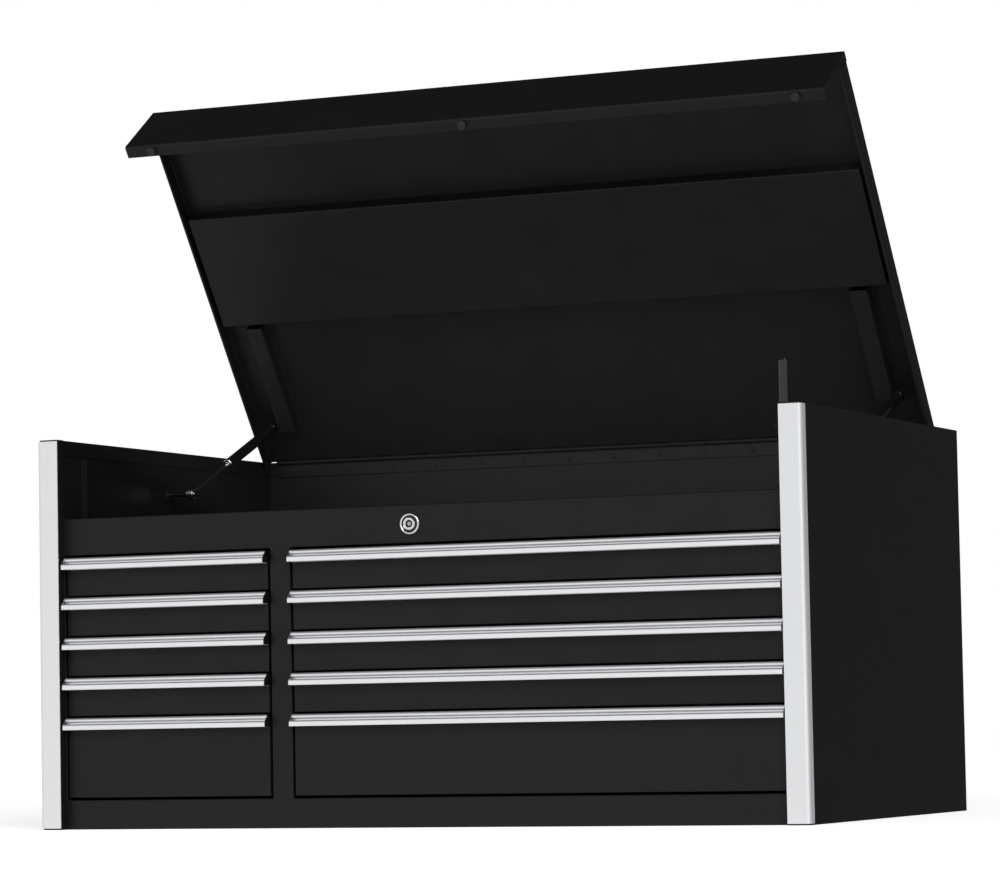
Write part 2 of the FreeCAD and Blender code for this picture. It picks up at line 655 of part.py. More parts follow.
def lid_side_section(name):
    """Right edge of the skin with its side fold and hem, as one bent sheet."""
    low = SKIN - T.lid_side
    inner = T.lid_bend - SHEET_T
    corners = [
        (SEAM_X, SKIN), (LID_X, SKIN, T.lid_bend), (LID_X, low, T.lid_bend), (LID_X - T.lid_hem, low),
        (LID_X - T.lid_hem, low + SHEET_T), (LID_X - SHEET_T, low + SHEET_T, inner),
        (LID_X - SHEET_T, UNDER, inner), (SEAM_X, UNDER),
    ]
    return extrusion(name, "XZ", corners, 0, SIDE_END)


def lid_shell():
    middle = lid_front_section("lid_middle", size_of(0), -SEAM_X, SEAM_X * 2)
    right_end = lid_front_section("lid_right_end", SIDE_END, SEAM_X, LID_X - SEAM_X)
    right_side = lid_side_section("lid_right_side")
    shell = fused("lid", [middle, right_end, mirrored("lid_left_end", right_end),
                          right_side, mirrored("lid_left_side", right_side)])
    node("lid_shell", shell, hung=True)


def hat_section(near, far, low):
    """Corners of a hat-shaped section that stands on the underside of the skin."""
    bend, flange = size_of(2), T.flange
    return [
        (near - flange, UNDER), (near - flange, UNDER - SHEET_T), (near, UNDER - SHEET_T),
        (near, low, bend), (far, low, bend), (far, UNDER - SHEET_T), (far + flange, UNDER - SHEET_T),
        (far + flange, UNDER), (far - SHEET_T, UNDER), (far - SHEET_T, low + SHEET_T),
        (near + SHEET_T, low + SHEET_T), (near + SHEET_T, UNDER),
    ]


def lid_stiffeners():
    """A wide beam across the lid and, at each end, a channel from the beam to the hinge."""
    beam = extrusion("lid_beam", "YZ",
                     hat_section(-T.beam_far, -T.beam_near, SKIN - T.beam_depth),
                     -T.beam_width / 2, T.beam_width)
    low = SKIN - T.channel_depth
    length = T.beam_near - T.flange - 1 - T.channel_start
    run = extrusion("lid_channel_run", "XZ", hat_section(T.channel_near, T.channel_far, low),
                    T.channel_start, length)
    cap = block("lid_channel_cap", (T.channel_near + SHEET_T, T.channel_far - SHEET_T),
                (-T.channel_start - SHEET_T, -T.channel_start), (low + SHEET_T / 2, UNDER))
    end = fused("lid_channel", [run, cap])
    node("lid_stiffeners", group("stiffeners", [beam, end, mirrored("lid_left_channel", end)]), hung=True)


def lid_bumpers():
    """Rubber buttons under the return fold, which meet the shelf over the drawers."""
    top = SKIN - T.lid_front
    y = -T.lid_length + T.lid_return / 2
    places = (("left", -T.bumper_side), ("middle", size_of(0)), ("right", T.bumper_side))
    buttons = [cylinder(f"{name}_bumper", "z", (x, y, top - T.bumper_height), T.bumper_height,
                        T.bumper_radius) for name, x in places]
    node("lid_bumpers", group("bumpers", buttons), hung=True)


def hinge_leaf(name, knuckles, leaf, tongue):
    """One leaf of the continuous hinge: a strip with a row of bored knuckles along the pin."""
    pieces = [leaf]
    for number, (low, high) in enumerate(knuckles):
        pieces.append(cylinder(f"{name}_knuckle_{number}", "x", (low, 0, 0), size_of(high) - low,
                               T.knuckle_radius))
        pieces.append(tongue(f"{name}_tongue_{number}", (low, high)))
    bore = cylinder(name + "_bore", "x", (-500, 0, 0), 1000, T.pin_radius + 0.05)
    return cut(name, fused(name + "_solid", pieces), bore)


KNUCKLES = 37
SCREWS = 14


def hinge():
    """Continuous hinge along the back rim, with knuckles that alternate between its leaves."""
    half_run = T.knuckle_pitch * KNUCKLES / 2
    gap = T.knuckle_end_gap
    spans = [(T.knuckle_pitch * n - half_run + gap, T.knuckle_pitch * (n + 1) - half_run - gap)
             for n in range(KNUCKLES)]
    run = (-half_run, half_run)
    clear = T.knuckle_radius + T.leaf_clear
    wall = LEAF_BACK
    chest_strip = block("chest_strip", run, (wall - T.leaf_sheet, wall), (-clear - T.leaf_height, -clear))
    chest = hinge_leaf("chest_leaf", spans[::2], chest_strip, lambda name, x: block(
        name, x, (wall - T.leaf_sheet, T.knuckle_radius), (-clear, 0)))
    bind(chest, "Placement.Base.y", PIN_Y)
    bind(chest, "Placement.Base.z", T.pin_height)
    node("hinge_chest_leaf", chest)
    lid_strip = block("lid_strip", run, (-clear - T.leaf_height, -clear), (UNDER - T.leaf_sheet, UNDER))
    lid = hinge_leaf("lid_leaf", spans[1::2], lid_strip, lambda name, x: block(
        name, x, (-clear, 0), (UNDER - T.leaf_sheet, T.knuckle_radius)))
    node("hinge_lid_leaf", lid, hung=True)
    pin = cylinder("pin", "x", (-half_run, PIN_Y, T.pin_height), half_run * 2, T.pin_radius)
    node("hinge_pin", pin)


def hinge_screws():
    """Evenly spaced round-headed screws through the hinge's chest leaf."""
    face = PIN_Y + LEAF_BACK - T.leaf_sheet
    z = T.pin_height - T.knuckle_radius - T.leaf_clear - T.leaf_height / 2
    shank, rim = T.screw_radius, T.screw_radius + 1.8
    screws = []
    for number in range(SCREWS):
        x = T.screw_pitch * (number - (SCREWS - 1) / 2)
        screws.append(turned(f"hinge_screw_{number}", "y", (x, face, z),
                             [(-1.4, -0.7, rim - 0.8), (-0.7, 0, rim),
                              (0, T.screw_length, shank)]))
    node("hinge_screws", group("screws", screws))


# ---------------------------------------------------------------- struts


EYE_HALF = T.eye_width / 2


def strut_pivots():
    """Lower pivot, and the direction and distance from it to the upper pivot with the lid open."""
    swing = math.radians(T.lid_open.value)
    out, depth = T.lid_ball_out.value, T.lid_ball_depth.value
    upper_y = PIN_Y.value - out * math.cos(swing) - depth * math.sin(swing)
    upper_z = T.pin_height.value + out * math.sin(swing) - depth * math.cos(swing)
    rise = FreeCAD.Vector(0, upper_y - CHEST_BALL[0].value, upper_z - CHEST_BALL[1].value)
    return rise.Length, math.degrees(math.atan2(rise.z, rise.y))


STRUT_LENGTH, STRUT_ANGLE = strut_pivots()


def placed_strut(name, shape):
    """Stand a strut piece, drawn along +Y from its lower pivot, between the two pivots."""
    swing = FreeCAD.Rotation(ALONG["x"], STRUT_ANGLE)
    shape.Placement = FreeCAD.Placement(FreeCAD.Vector(), swing)
    bind(shape, "Placement.Base.x", T.strut_plane)
    bind(shape, "Placement.Base.y", CHEST_BALL[0])
    bind(shape, "Placement.Base.z", CHEST_BALL[1])
    node(name.replace("left", "right"), shape)
    node(name, mirrored(name + "_mirror", shape))


def struts():
    """Gas struts: the rod turns on the chest and the tube slides along it."""
    eye = cylinder("rod_eye", "x", (-EYE_HALF, 0, 0), T.eye_width, T.eye_radius)
    shaft = cylinder("rod_shaft", "y", (0, 2, 0), T.rod_shown + 28, T.rod_radius)
    collar = cylinder("rod_collar", "y", (0, 4, 0), 12, T.neck_radius)
    bore = cylinder("rod_bore", "x", (-EYE_HALF - 5, 0, 0), 20, T.stud_radius + 0.05)
    placed_strut("left_strut_rod", cut("strut_rod", fused("rod_solid", [eye, shaft, collar]), bore))

    pivot = size_of(STRUT_LENGTH)
    barrel = cylinder("tube_barrel", "y", (0, T.rod_shown, 0), pivot - T.rod_shown - 10, T.tube_radius)
    neck = cylinder("tube_neck", "y", (0, pivot - 14, 0), 10, T.neck_radius)
    socket = cylinder("tube_socket", "x", (-EYE_HALF, pivot, 0), T.eye_width, T.eye_radius)
    inside = cylinder("tube_bore", "y", (0, T.rod_shown - 1, 0), 100, T.rod_radius + 0.3)
    placed_strut("left_strut_tube", cut("strut_tube", fused("tube_solid", [barrel, neck, socket]), inside))


def strut_studs():
    """Studs on the inner side walls, and the shorter ones on the lid's end channels."""
    y, z = CHEST_BALL
    inner = T.strut_plane - EYE_HALF
    plate = block("chest_stud_plate", (WALL_X - SHEET_T, WALL_X), (y - 8, y + 8), (z - 7, z + 7))
    stud = cylinder("chest_stud_pin", "x", (inner - 1.5, y, z), WALL_X - inner + 1.5, T.stud_radius)
    head = cylinder("chest_stud_head", "x", (inner - 2.6, y, z), 1.6, T.stud_radius + 1.5)
    collar = cylinder("chest_stud_collar", "x", (T.strut_plane + EYE_HALF + 1, y, z), 3,
                      T.stud_radius + 1.5)
    right = fused("chest_stud", [plate, stud, head, collar])
    node("strut_chest_studs", group("chest_studs", [right, mirrored("left_chest_stud", right)]))

    out, depth = -T.lid_ball_out, -T.lid_ball_depth
    foot = block("lid_stud_plate", (T.channel_far, T.channel_far + SHEET_T), (out - 14, out + 6),
                 (depth - 2.4, depth + 12))
    reach = T.strut_plane - T.tube_radius - 0.3 - T.channel_far
    stub = cylinder("lid_stud_pin", "x", (T.channel_far, out, depth), reach, T.stud_radius + 0.5)
    right = fused("lid_stud", [foot, stub])
    node("strut_lid_studs", group("lid_studs", [right, mirrored("left_lid_stud", right)]), hung=True)


# ---------------------------------------------------------------- locks


def key_lock():
    """Round key lock in the panel over the drawers: housing, turning core and cam."""
    centre = (size_of(0), FACE_Y, LOCK_Z)
    body = turned("lock_body", "y", centre, [(-3.2, -1.2, T.lock_radius - 1.6),
                                             (-2.4, 0, T.lock_radius), (0, 22, T.barrel_radius)])
    bore = cylinder("lock_bore", "y", (0, FACE_Y - 10, LOCK_Z), 50, T.core_radius)
    node("lock_housing", cut("lock_shell", body, bore))

    plug = turned("core_plug", "y", centre, [(-2.2, 22, T.core_radius - 0.07), (22, 28, 4.0)])
    keyway = cut("core_keyway", cylinder("keyway_outer", "y", (0, FACE_Y - 5, LOCK_Z), 9, 5.6),
                 cylinder("keyway_inner", "y", (0, FACE_Y - 6, LOCK_Z), 12, 3.4))
    node("lock_core", cut("core", plug, keyway))

    arm = block("cam_arm", (0, 18), (FACE_Y + 22.2, FACE_Y + 25.2), (LOCK_Z - 5, LOCK_Z + 5))
    hub = cylinder("cam_hub", "y", (0, FACE_Y + 22.2, LOCK_Z), 3, 7.0)
    hole = cylinder("cam_hole", "y", (0, FACE_Y + 20, LOCK_Z), 10, 4.0)
    node("lock_cam", cut("cam", fused("cam_solid", [arm, hub]), hole))


def plunger():
    """Rod that the closing lid pushes down to work the drawer lock bars."""
    centre = (T.plunger_side, PLUNGER_Y, T.plunger_top - T.plunger_length)
    rod = turned("plunger_rod", "z", centre, [(0, T.plunger_length - 1.2, T.plunger_radius),
                                              (T.plunger_length - 1.2, T.plunger_length,
                                               T.plunger_radius - 1.2)])
    node("lock_plunger", rod)


# ---------------------------------------------------------------- build, check and write


def build():
    side_panel()
    side_liners()
    back_panel()
    bottom_panel()
    front_frame()
    centre_partition()
    till_floor()
    corner_trims()
    till_corner_brackets()
    for bank in BANKS:
        for number in DRAWERS:
            drawer_box(bank, number)
            drawer_pull(bank, number)
    slides()
    lock_bars()
    lid_shell()
    lid_stiffeners()
    lid_bumpers()
    hinge()
    hinge_screws()
    struts()
    strut_studs()
    key_lock()
    plunger()
    DOC.recompute()


def check():
    """Stop if any object failed to recompute or any sub-part has a bad shape."""
    for thing in DOC.Objects:
        if "Invalid" in thing.State or "Error" in thing.State:
            raise RuntimeError(f"{thing.Name} did not recompute: {thing.State}")
    for name, thing in NODES:
        if thing.Shape.isNull() or not thing.Shape.isValid() or not thing.Shape.Solids:
            raise RuntimeError(f"{name} has no valid solid")


def write():
    os.makedirs("parts", exist_ok=True)
    for name, thing in NODES:
        thing.Shape.exportStep(f"parts/{name}.step")
    print(f"{len(NODES)} sub-parts written")


build()
check()
write()
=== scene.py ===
"""The finished look of a black steel tool top chest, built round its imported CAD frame.

Everything is in metres, in the frame's own axes: +X to the chest's right as one faces the drawers,
+Y towards its back and +Z up. The chest stands on Z = 0 with its lid open.
"""
import json
import math

import bmesh
import bpy
from mathutils import Matrix, Vector


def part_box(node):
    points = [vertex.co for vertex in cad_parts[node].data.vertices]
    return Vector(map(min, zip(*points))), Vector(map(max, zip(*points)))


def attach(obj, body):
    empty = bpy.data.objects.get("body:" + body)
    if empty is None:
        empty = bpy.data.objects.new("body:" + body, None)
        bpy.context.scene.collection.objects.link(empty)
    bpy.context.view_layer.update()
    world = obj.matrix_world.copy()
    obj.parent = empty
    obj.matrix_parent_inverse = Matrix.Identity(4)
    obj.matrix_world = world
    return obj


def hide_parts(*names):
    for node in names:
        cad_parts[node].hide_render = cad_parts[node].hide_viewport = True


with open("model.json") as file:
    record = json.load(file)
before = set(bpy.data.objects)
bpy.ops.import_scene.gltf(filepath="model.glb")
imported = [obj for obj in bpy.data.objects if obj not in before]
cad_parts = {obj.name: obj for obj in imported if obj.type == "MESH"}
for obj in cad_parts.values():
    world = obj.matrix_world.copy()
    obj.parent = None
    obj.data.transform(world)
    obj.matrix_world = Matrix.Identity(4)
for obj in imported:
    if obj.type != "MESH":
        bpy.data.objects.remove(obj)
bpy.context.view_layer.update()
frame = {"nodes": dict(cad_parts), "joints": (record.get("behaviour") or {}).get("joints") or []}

bl_info = {
    "name": "Tool Top Chest",
    "version": (1, 0, 0),
    "blender": (4, 5, 0),
    "location": "3D View > Sidebar > Top Chest",
    "description": "Finishes a steel top chest with drawers, bright pulls and a strut-held lid",
    "category": "Object",
}

BANKS = ("left", "right")
DRAWERS = tuple(f"{bank}_drawer_{number}" for bank in BANKS for number in range(1, 6))
JOINTS = {joint["name"]: joint for joint in frame["joints"]}


def mm(length):
    """Millimetres to the scene's metres."""
    return length / 1000


def linear(hex_colour):
    """An sRGB hex colour such as #1a2b3c as linear red, green and blue."""
    values = [int(hex_colour[i:i + 2], 16) / 255 for i in (1, 3, 5)]
    return tuple(v / 12.92 if v <= 0.04045 else ((v + 0.055) / 1.055) ** 2.4 for v in values)


# ---------------------------------------------------------------- what a user would change


def length(name, description, millimetres):
    return bpy.props.FloatProperty(name=name, description=description, default=mm(millimetres),
                                   min=0, unit="LENGTH", precision=4)


def share(name, description, value):
    return bpy.props.FloatProperty(name=name, description=description, default=value, min=0, max=1,
                                   subtype="FACTOR")


def colour(name, description, hex_colour):
    return bpy.props.FloatVectorProperty(name=name, description=description, size=3, min=0, max=1,
                                         subtype="COLOR", default=linear(hex_colour))


class ChestColours(bpy.types.PropertyGroup):
    """Colours of the chest's finishes."""

    powder: colour("Powder Coat", "Black of the case, lid and drawers", "#161617")
    aluminium: colour("Aluminium", "Drawer pulls", "#e3e4e6")
    trim: colour("Corner Trims", "Angles over the front corners", "#d2d3d5")
    chrome: colour("Chrome", "Key lock, strut rods and screws", "#d8dadd")
    zinc: colour("Zinc Plate", "Slides and lock bars", "#b4b6b1")
    plastic: colour("Black Plastic", "Lock plunger and strut ends", "#101010")
    # This black is also the painted shade of the rings in the key lock's keyway and plug gap
    rubber: colour("Rubber", "Lid bumpers", "#151515")
    floor: colour("Studio Floor", "Floor that the chest stands on", "#f6f6f6")


class ChestSizes(bpy.types.PropertyGroup):
    """Sizes of the fine detail that the frame leaves plain."""

    sheet_edge: length("Sheet Edge", "Rounding of the coated edges of the steel sheet", 0.45)
    trim_edge: length("Trim Edge", "Rounding of the cut edges of the aluminium", 0.3)
    peel: length("Orange Peel", "Spacing of the ripples in the powder coat", 1.6)
    draw_line: length("Draw Lines", "Spacing of the die lines along the aluminium", 0.5)
    gloss: share("Powder Roughness", "Roughness of the powder coat", 0.36)


# ---------------------------------------------------------------- meshes


def new_object(name, mesh_data, material, body, sharp=35.0):
    """Make an object of mesh_data that rides on body and takes material as its finish."""
    mesh_data.polygons.foreach_set("use_smooth", [True] * len(mesh_data.polygons))
    mesh_data.set_sharp_from_angle(angle=math.radians(sharp))
    mesh_data.materials.clear()
    mesh_data.materials.append(material)
    piece = bpy.data.objects.new(name, mesh_data)
    bpy.context.scene.collection.objects.link(piece)
    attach(piece, body)
    return piece


def from_bmesh(name, bm, material, body, sharp=35.0):
    bmesh.ops.recalc_face_normals(bm, faces=bm.faces)
    mesh_data = bpy.data.meshes.new(name)
    bm.to_mesh(mesh_data)
    bm.free()
    return new_object(name, mesh_data, material, body, sharp)


def round_edges(piece, width, segments=2):
    """Give the sharp edges of a piece a small real radius and keep its flats flat."""
    bevel = piece.modifiers.new("rounded edges", "BEVEL")
    bevel.width = width
    bevel.segments = segments
    bevel.limit_method = "ANGLE"
    bevel.angle_limit = math.radians(35)
    normals = piece.modifiers.new("flat faces stay flat", "WEIGHTED_NORMAL")
    normals.keep_sharp = False


def finished_copy(node, material, body, edge):
    """Stand a copy of a CAD node in its place, with its cut edges rounded."""
    bm = bmesh.new()
    bm.from_mesh(frame["nodes"][node].data)
    bmesh.ops.remove_doubles(bm, verts=bm.verts, dist=mm(0.01))
    bmesh.ops.dissolve_limit(bm, angle_limit=math.radians(0.3), verts=bm.verts, edges=bm.edges)
    piece = from_bmesh(node + "_finished", bm, material, body)
    round_edges(piece, edge)
    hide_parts(node)
    return piece


def coat(node, material):
    """Give a CAD node that is shown as it is its finished material."""
    cad = frame["nodes"][node]
    cad.data.materials.clear()
    cad.data.materials.append(material)


def turned(bm, profile, place, segments=48, ring=False):
    """Add a turned solid from (millimetres along local Z, radius) pairs; a ring joins its ends."""
    rings = []
    for height, radius in profile:
        if radius == 0:
            rings.append([bm.verts.new(place @ Vector((0, 0, mm(height))))])
            continue
        angles = [math.tau * step / segments for step in range(segments)]
        rings.append([bm.verts.new(place @ Vector((mm(radius * math.cos(a)), mm(radius * math.sin(a)),
                                                   mm(height)))) for a in angles])
    for low, high in zip(rings, rings[1:] + rings[:1] if ring else rings[1:]):
        for step in range(segments):
            after = (step + 1) % segments
            corners = [low[step % len(low)], low[after % len(low)],
                       high[after % len(high)], high[step % len(high)]]
            unique = list(dict.fromkeys(corners))
            if len(unique) > 2:
                bm.faces.new(unique)


def turned_piece(name, profiles, material, body, ring=False):
    """One object of turned solids; profiles holds (profile, placement) pairs."""
    bm = bmesh.new()
    for profile, place in profiles:
        turned(bm, profile, place, ring=ring)
    return from_bmesh(name, bm, material, body, 40)


def arc(centre, radius, start, end, steps=6):
    """Points on a circle from start to end, in degrees."""
    angles = [math.radians(start + (end - start) * step / steps) for step in range(steps + 1)]
    return [(centre[0] + radius * math.cos(a), centre[1] + radius * math.sin(a)) for a in angles]


def along(axis, start=(0, 0, 0)):
    """Placement whose local Z runs along axis from start."""
    turn = Vector(axis).to_track_quat("Z", "Y").to_matrix().to_4x4()
    return Matrix.Translation(Vector(start)) @ turn


# ---------------------------------------------------------------- materials


def add_node(tree, kind, inputs=(), **settings):
    """Add a shader node, with its settings and with values or links on its inputs."""
    added = tree.nodes.new(kind)
    for name, value in settings.items():
        setattr(added, name, value)
    for name, value in dict(inputs).items():
        if isinstance(value, bpy.types.NodeSocket):
            tree.links.new(value, added.inputs[name])
        else:
            added.inputs[name].default_value = value
    return added


def new_material(name):
    """An empty material with its surface shader and the object's own coordinates."""
    material = bpy.data.materials.new(name)
    material.use_nodes = True
    tree = material.node_tree
    surface = tree.nodes["Principled BSDF"]
    place = add_node(tree, "ShaderNodeTexCoord").outputs["Object"]
    return material, tree, surface, place


def powder_coat():
    """Baked polyester powder on steel: a deep black skin, with a fine ripple that blurs its gloss."""
    sizes, colours = bpy.context.scene.chest_sizes, bpy.context.scene.chest_colours
    material, tree, surface, place = new_material("black polyester powder coat")
    ripple = add_node(tree, "ShaderNodeTexNoise",
                      {"Vector": place, "Scale": 1 / sizes.peel, "Detail": 2.0, "Roughness": 0.45})
    drift = add_node(tree, "ShaderNodeTexNoise", {"Vector": place, "Scale": 1 / mm(45), "Detail": 3.0})
    tone = add_node(tree, "ShaderNodeValToRGB", {"Fac": drift.outputs["Fac"]})
    dark, light = tone.color_ramp.elements
    dark.position, light.position = 0.35, 0.7
    dark.color = (*[c * 0.94 for c in colours.powder], 1)
    light.color = (*[c * 1.06 for c in colours.powder], 1)
    gloss = add_node(tree, "ShaderNodeMapRange", {"Value": drift.outputs["Fac"], "From Min": 0.3,
                     "From Max": 0.7, "To Min": sizes.gloss - 0.015, "To Max": sizes.gloss + 0.02})
    relief = add_node(tree, "ShaderNodeBump", {"Height": ripple.outputs["Fac"], "Strength": 0.25,
                                               "Distance": mm(0.02)})
    tree.links.new(tone.outputs["Color"], surface.inputs["Base Color"])
    tree.links.new(gloss.outputs["Result"], surface.inputs["Roughness"])
    tree.links.new(relief.outputs["Normal"], surface.inputs["Normal"])
    surface.inputs["IOR"].default_value = 1.5
    surface.inputs["Specular IOR Level"].default_value = 0.15
    return material


def aluminium(name, tint, direction, roughness, metal, streak):
    """Extruded aluminium, anodised clear: a soft metal gloss streaked along the die's direction."""
    sizes = bpy.context.scene.chest_sizes
    material, tree, surface, place = new_material(name)
    across, length_wise = 1 / sizes.draw_line, 1 / mm(180)
    stretch = [length_wise if letter == direction else across for letter in "XYZ"]
    streak_place = add_node(tree, "ShaderNodeMapping", {"Vector": place, "Scale": stretch})
    streaks = add_node(tree, "ShaderNodeTexNoise", {"Vector": streak_place.outputs["Vector"],
                                                    "Scale": 1.0, "Detail": 3.0})
    gloss = add_node(tree, "ShaderNodeMapRange", {"Value": streaks.outputs["Fac"], "From Min": 0.3,
                     "From Max": 0.7, "To Min": roughness - 0.02, "To Max": roughness + 0.02})
    relief = add_node(tree, "ShaderNodeBump", {"Height": streaks.outputs["Fac"], "Strength": streak,
                                               "Distance": mm(0.02)})
    tree.links.new(gloss.outputs["Result"], surface.inputs["Roughness"])
    tree.links.new(relief.outputs["Normal"], surface.inputs["Normal"])
    surface.inputs["Base Color"].default_value = (*tint, 1)
    surface.inputs["Metallic"].default_value = metal
    return material


def chrome_plate():
    """Decorative chrome over nickel: a hard mirror with faint polishing haze."""
    material, tree, surface, place = new_material("bright chrome plate")
    haze = add_node(tree, "ShaderNodeTexNoise", {"Vector": place, "Scale": 1 / mm(3), "Detail": 2.0})
    gloss = add_node(tree, "ShaderNodeMapRange", {"Value": haze.outputs["Fac"], "To Min": 0.04,
                                                  "To Max": 0.14})
    tree.links.new(gloss.outputs["Result"], surface.inputs["Roughness"])
    surface.inputs["Base Color"].default_value = (*bpy.context.scene.chest_colours.chrome, 1)
    surface.inputs["Metallic"].default_value = 1
    return material


def zinc_plate():
    """Bright zinc on steel: a greyer metal whose crystals mottle its shine."""
    material, tree, surface, place = new_material("bright zinc plate")
    spangle = add_node(tree, "ShaderNodeTexVoronoi", {"Vector": place, "Scale": 1 / mm(2.5)})
    tone = add_node(tree, "ShaderNodeValToRGB", {"Fac": spangle.outputs["Color"]})
    zinc = bpy.context.scene.chest_colours.zinc
    for element, strength in zip(tone.color_ramp.elements, (0.85, 1.1)):
        element.color = (*[min(1, c * strength) for c in zinc], 1)
    gloss = add_node(tree, "ShaderNodeMapRange", {"Value": spangle.outputs["Distance"],
                                                  "To Min": 0.28, "To Max": 0.42})
    tree.links.new(tone.outputs["Color"], surface.inputs["Base Color"])
    tree.links.new(gloss.outputs["Result"], surface.inputs["Roughness"])
    surface.inputs["Metallic"].default_value = 1
    return material


def moulded(name, tint, roughness, grain, depth):
    """Moulded polymer: an even body colour with the fine grain of its mould."""
    material, tree, surface, place = new_material(name)
    skin = add_node(tree, "ShaderNodeTexNoise", {"Vector": place, "Scale": 1 / grain, "Detail": 2.0})
    gloss = add_node(tree, "ShaderNodeMapRange", {"Value": skin.outputs["Fac"], "To Min": roughness * 0.8,
                                                  "To Max": roughness * 1.2})
    relief = add_node(tree, "ShaderNodeBump", {"Height": skin.outputs["Fac"], "Strength": depth,
                                               "Distance": mm(0.03)})
    tree.links.new(gloss.outputs["Result"], surface.inputs["Roughness"])
    tree.links.new(relief.outputs["Normal"], surface.inputs["Normal"])
    surface.inputs["Base Color"].default_value = (*tint, 1)
    return material


def gloss_plastic():
    """Acetal, moulded and polished: hard, black and shiny."""
    return moulded("gloss black acetal", bpy.context.scene.chest_colours.plastic, 0.14, mm(1.5), 0.05)


def rubber():
    """Vulcanised rubber: matt black, with the faint grain of its mould. The same black is painted shade
    in the key lock's keyway and in the gap round its plug.
    """
    return moulded("moulded black rubber and painted shade", bpy.context.scene.chest_colours.rubber, 0.7, mm(0.6), 0.3)


FINISHES = {
    "powder": powder_coat,
    "trim": lambda: aluminium("satin anodised aluminium trim", bpy.context.scene.chest_colours.trim,
                              "Z", 0.42, 0.4, 0.05),
    "pull": lambda: aluminium("bright anodised aluminium pull",
                              bpy.context.scene.chest_colours.aluminium, "X", 0.3, 0.85, 0.02),
    "chrome": chrome_plate,
    "zinc": zinc_plate,
    "plastic": gloss_plastic,
    "rubber": rubber,
}
MADE = {}


def finish(name):
    """The named material, made the first time it is asked for."""
    if name not in MADE:
        MADE[name] = FINISHES[name]()
    return MADE[name]


# ---------------------------------------------------------------- pieces


class CHEST_OT_case(bpy.types.Operator):
    """Folded steel sheets of the case, with rounded, coated edges"""

    bl_idname = "chest.case"
    bl_label = "Case Sheets"

    def execute(self, context):
        for node in ("left_side_panel", "right_side_panel", "inner_side_panels", "back_panel",
                     "bottom_panel", "front_frame", "centre_partition", "till_floor",
                     "till_corner_brackets"):
            finished_copy(node, finish("powder"), "root", context.scene.chest_sizes.sheet_edge)
        return {"FINISHED"}


class CHEST_OT_trims(bpy.types.Operator):
    """Satin aluminium angles over the two front corners"""

    bl_idname = "chest.trims"
    bl_label = "Corner Trims"

    def execute(self, context):
        for side in BANKS:
            finished_copy(f"{side}_corner_trim", finish("trim"), "root",
                          context.scene.chest_sizes.trim_edge)
        return {"FINISHED"}


class CHEST_OT_drawers(bpy.types.Operator):
    """Ten folded steel drawers"""

    bl_idname = "chest.drawers"
    bl_label = "Drawers"

    def execute(self, context):
        for drawer in DRAWERS:
            finished_copy(drawer + "_box", finish("powder"), drawer, context.scene.chest_sizes.sheet_edge)
        return {"FINISHED"}


def pull_outline():
    """Section of a pull, as (out from the drawer face, down from its top), round the outside."""
    bead_out, bead_drop, groove, lip_out, drop, wall = 8.0, 6.2, 1.6, 15.0, 15.2, 1.8
    nose, shelf = 3.1, bead_drop + groove
    section = [(0, 0)]
    section += arc((bead_out - nose, -nose), nose, 90, -90, 12)
    section += [(4.5, -bead_drop), (4.5, -shelf)]
    section += arc((lip_out - 2.4, -shelf - 2.4), 2.4, 90, 0, 8)
    section += arc((lip_out - 0.8, -drop + 0.8), 0.8, 0, -90, 4)
    section += [(lip_out - wall, -drop)]
    section += arc((lip_out - wall - 1.0, -shelf - wall - 1.0), 1.0, 0, 90, 4)
    section += arc((2.6, -shelf - wall - 1.0), 1.0, 90, 180, 4)
    section += [(1.6, -drop), (0, -drop)]
    return section


CAP = mm(1.2)                                    # thickness of the caps on the ends of a pull
CAP_OUTLINE = [(0, 0), (6.6, 0), (8.0, -1.4), (14.9, -8.2), (14.9, -15.1), (0, -15.1)]


def extruded(bm, outline, span, corner):
    """Add a bar along X with the given outline, hung from the drawer face at corner."""
    rows = [[bm.verts.new((x, corner.y - mm(out), corner.z + mm(down))) for out, down in outline]
            for x in span]
    for row in rows:
        bm.faces.new(row)
    for i in range(len(outline)):
        j = (i + 1) % len(outline)
        bm.faces.new((rows[0][i], rows[0][j], rows[1][j], rows[1][i]))


class CHEST_OT_pulls(bpy.types.Operator):
    """Full-width aluminium pulls: a round bead over a deeper finger lip"""

    bl_idname = "chest.pulls"
    bl_label = "Drawer Pulls"

    def execute(self, context):
        for drawer in DRAWERS:
            low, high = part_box(drawer + "_pull")
            bm = bmesh.new()
            extruded(bm, pull_outline(), (low.x + CAP, high.x - CAP), high)
            piece = from_bmesh(drawer + "_pull_bar", bm, finish("pull"), drawer, 40)
            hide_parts(drawer + "_pull")
            bm = bmesh.new()
            for span in ((low.x, low.x + CAP), (high.x - CAP, high.x)):
                extruded(bm, CAP_OUTLINE, span, high)
            caps = from_bmesh(drawer + "_pull_caps", bm, finish("plastic"), drawer)
            round_edges(caps, mm(0.3))
        return {"FINISHED"}


class CHEST_OT_slides(bpy.types.Operator):
    """Zinc-plated slides and lock bars"""

    bl_idname = "chest.slides"
    bl_label = "Slides and Lock Bars"

    def execute(self, context):
        for node in ["case_slide_rails", "drawer_lock_bars"] + [f"{d}_runners" for d in DRAWERS]:
            coat(node, finish("zinc"))
        return {"FINISHED"}


class CHEST_OT_lid(bpy.types.Operator):
    """Folded lid, its stiffeners and its rubber bumpers"""

    bl_idname = "chest.lid"
    bl_label = "Lid"

    def execute(self, context):
        for node in ("lid_shell", "lid_stiffeners"):
            finished_copy(node, finish("powder"), "lid", context.scene.chest_sizes.sheet_edge)
        finished_copy("lid_bumpers", finish("rubber"), "lid", mm(1.2))
        return {"FINISHED"}


